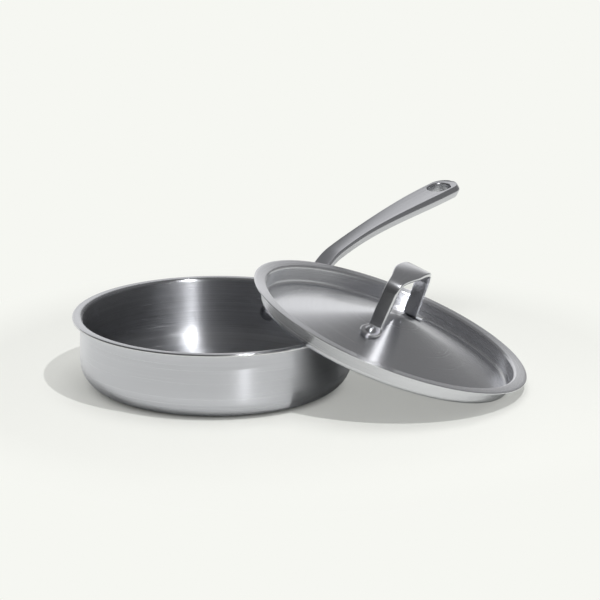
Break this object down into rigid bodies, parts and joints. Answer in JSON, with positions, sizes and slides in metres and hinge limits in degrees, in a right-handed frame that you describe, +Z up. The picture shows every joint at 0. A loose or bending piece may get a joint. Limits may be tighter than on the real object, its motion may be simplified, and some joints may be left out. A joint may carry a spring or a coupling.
{
  "type": "saute pan with lid",
  "caption": "Stainless steel saute pan with straight bonded walls, a flat turned-out lip and a long riveted handle, its flanged lid leaning on the rim.",
  "frame": {"origin": "centre of the pan's flat base, on the worktop", "axes": "+X along the long handle, +Z up, +Y to the left of the handle seen from the pan"},
  "size_m": [0.5288, 0.4185, 0.126],
  "materials": {
    "brushed_steel": "circular brushing",
    "cooking_steel": "fine circular brushing",
    "aluminium_core": "bare, seen only at the edge of the lip",
    "cast_steel": "satin, brushed along the handle",
    "rivet_steel": "smooth domed heads"
  },
  "bodies": {
    "pan": {"pan_outer_ply": "brushed_steel", "pan_aluminium_core": "aluminium_core", "pan_cooking_surface": "cooking_steel", "pan_handle": "cast_steel", "pan_rivet_left": "rivet_steel", "pan_rivet_right": "rivet_steel"},
    "lid": {"lid_shell": "brushed_steel", "lid_handle": "cast_steel", "lid_rivet_near": "rivet_steel", "lid_rivet_far": "rivet_steel"}
  },
  "joints": [
    {"name": "lid_lift", "type": "slide", "parent": "pan", "child": "lid", "axis": [0, 0, 1], "range_m": [0, 0.2]}
  ]
}
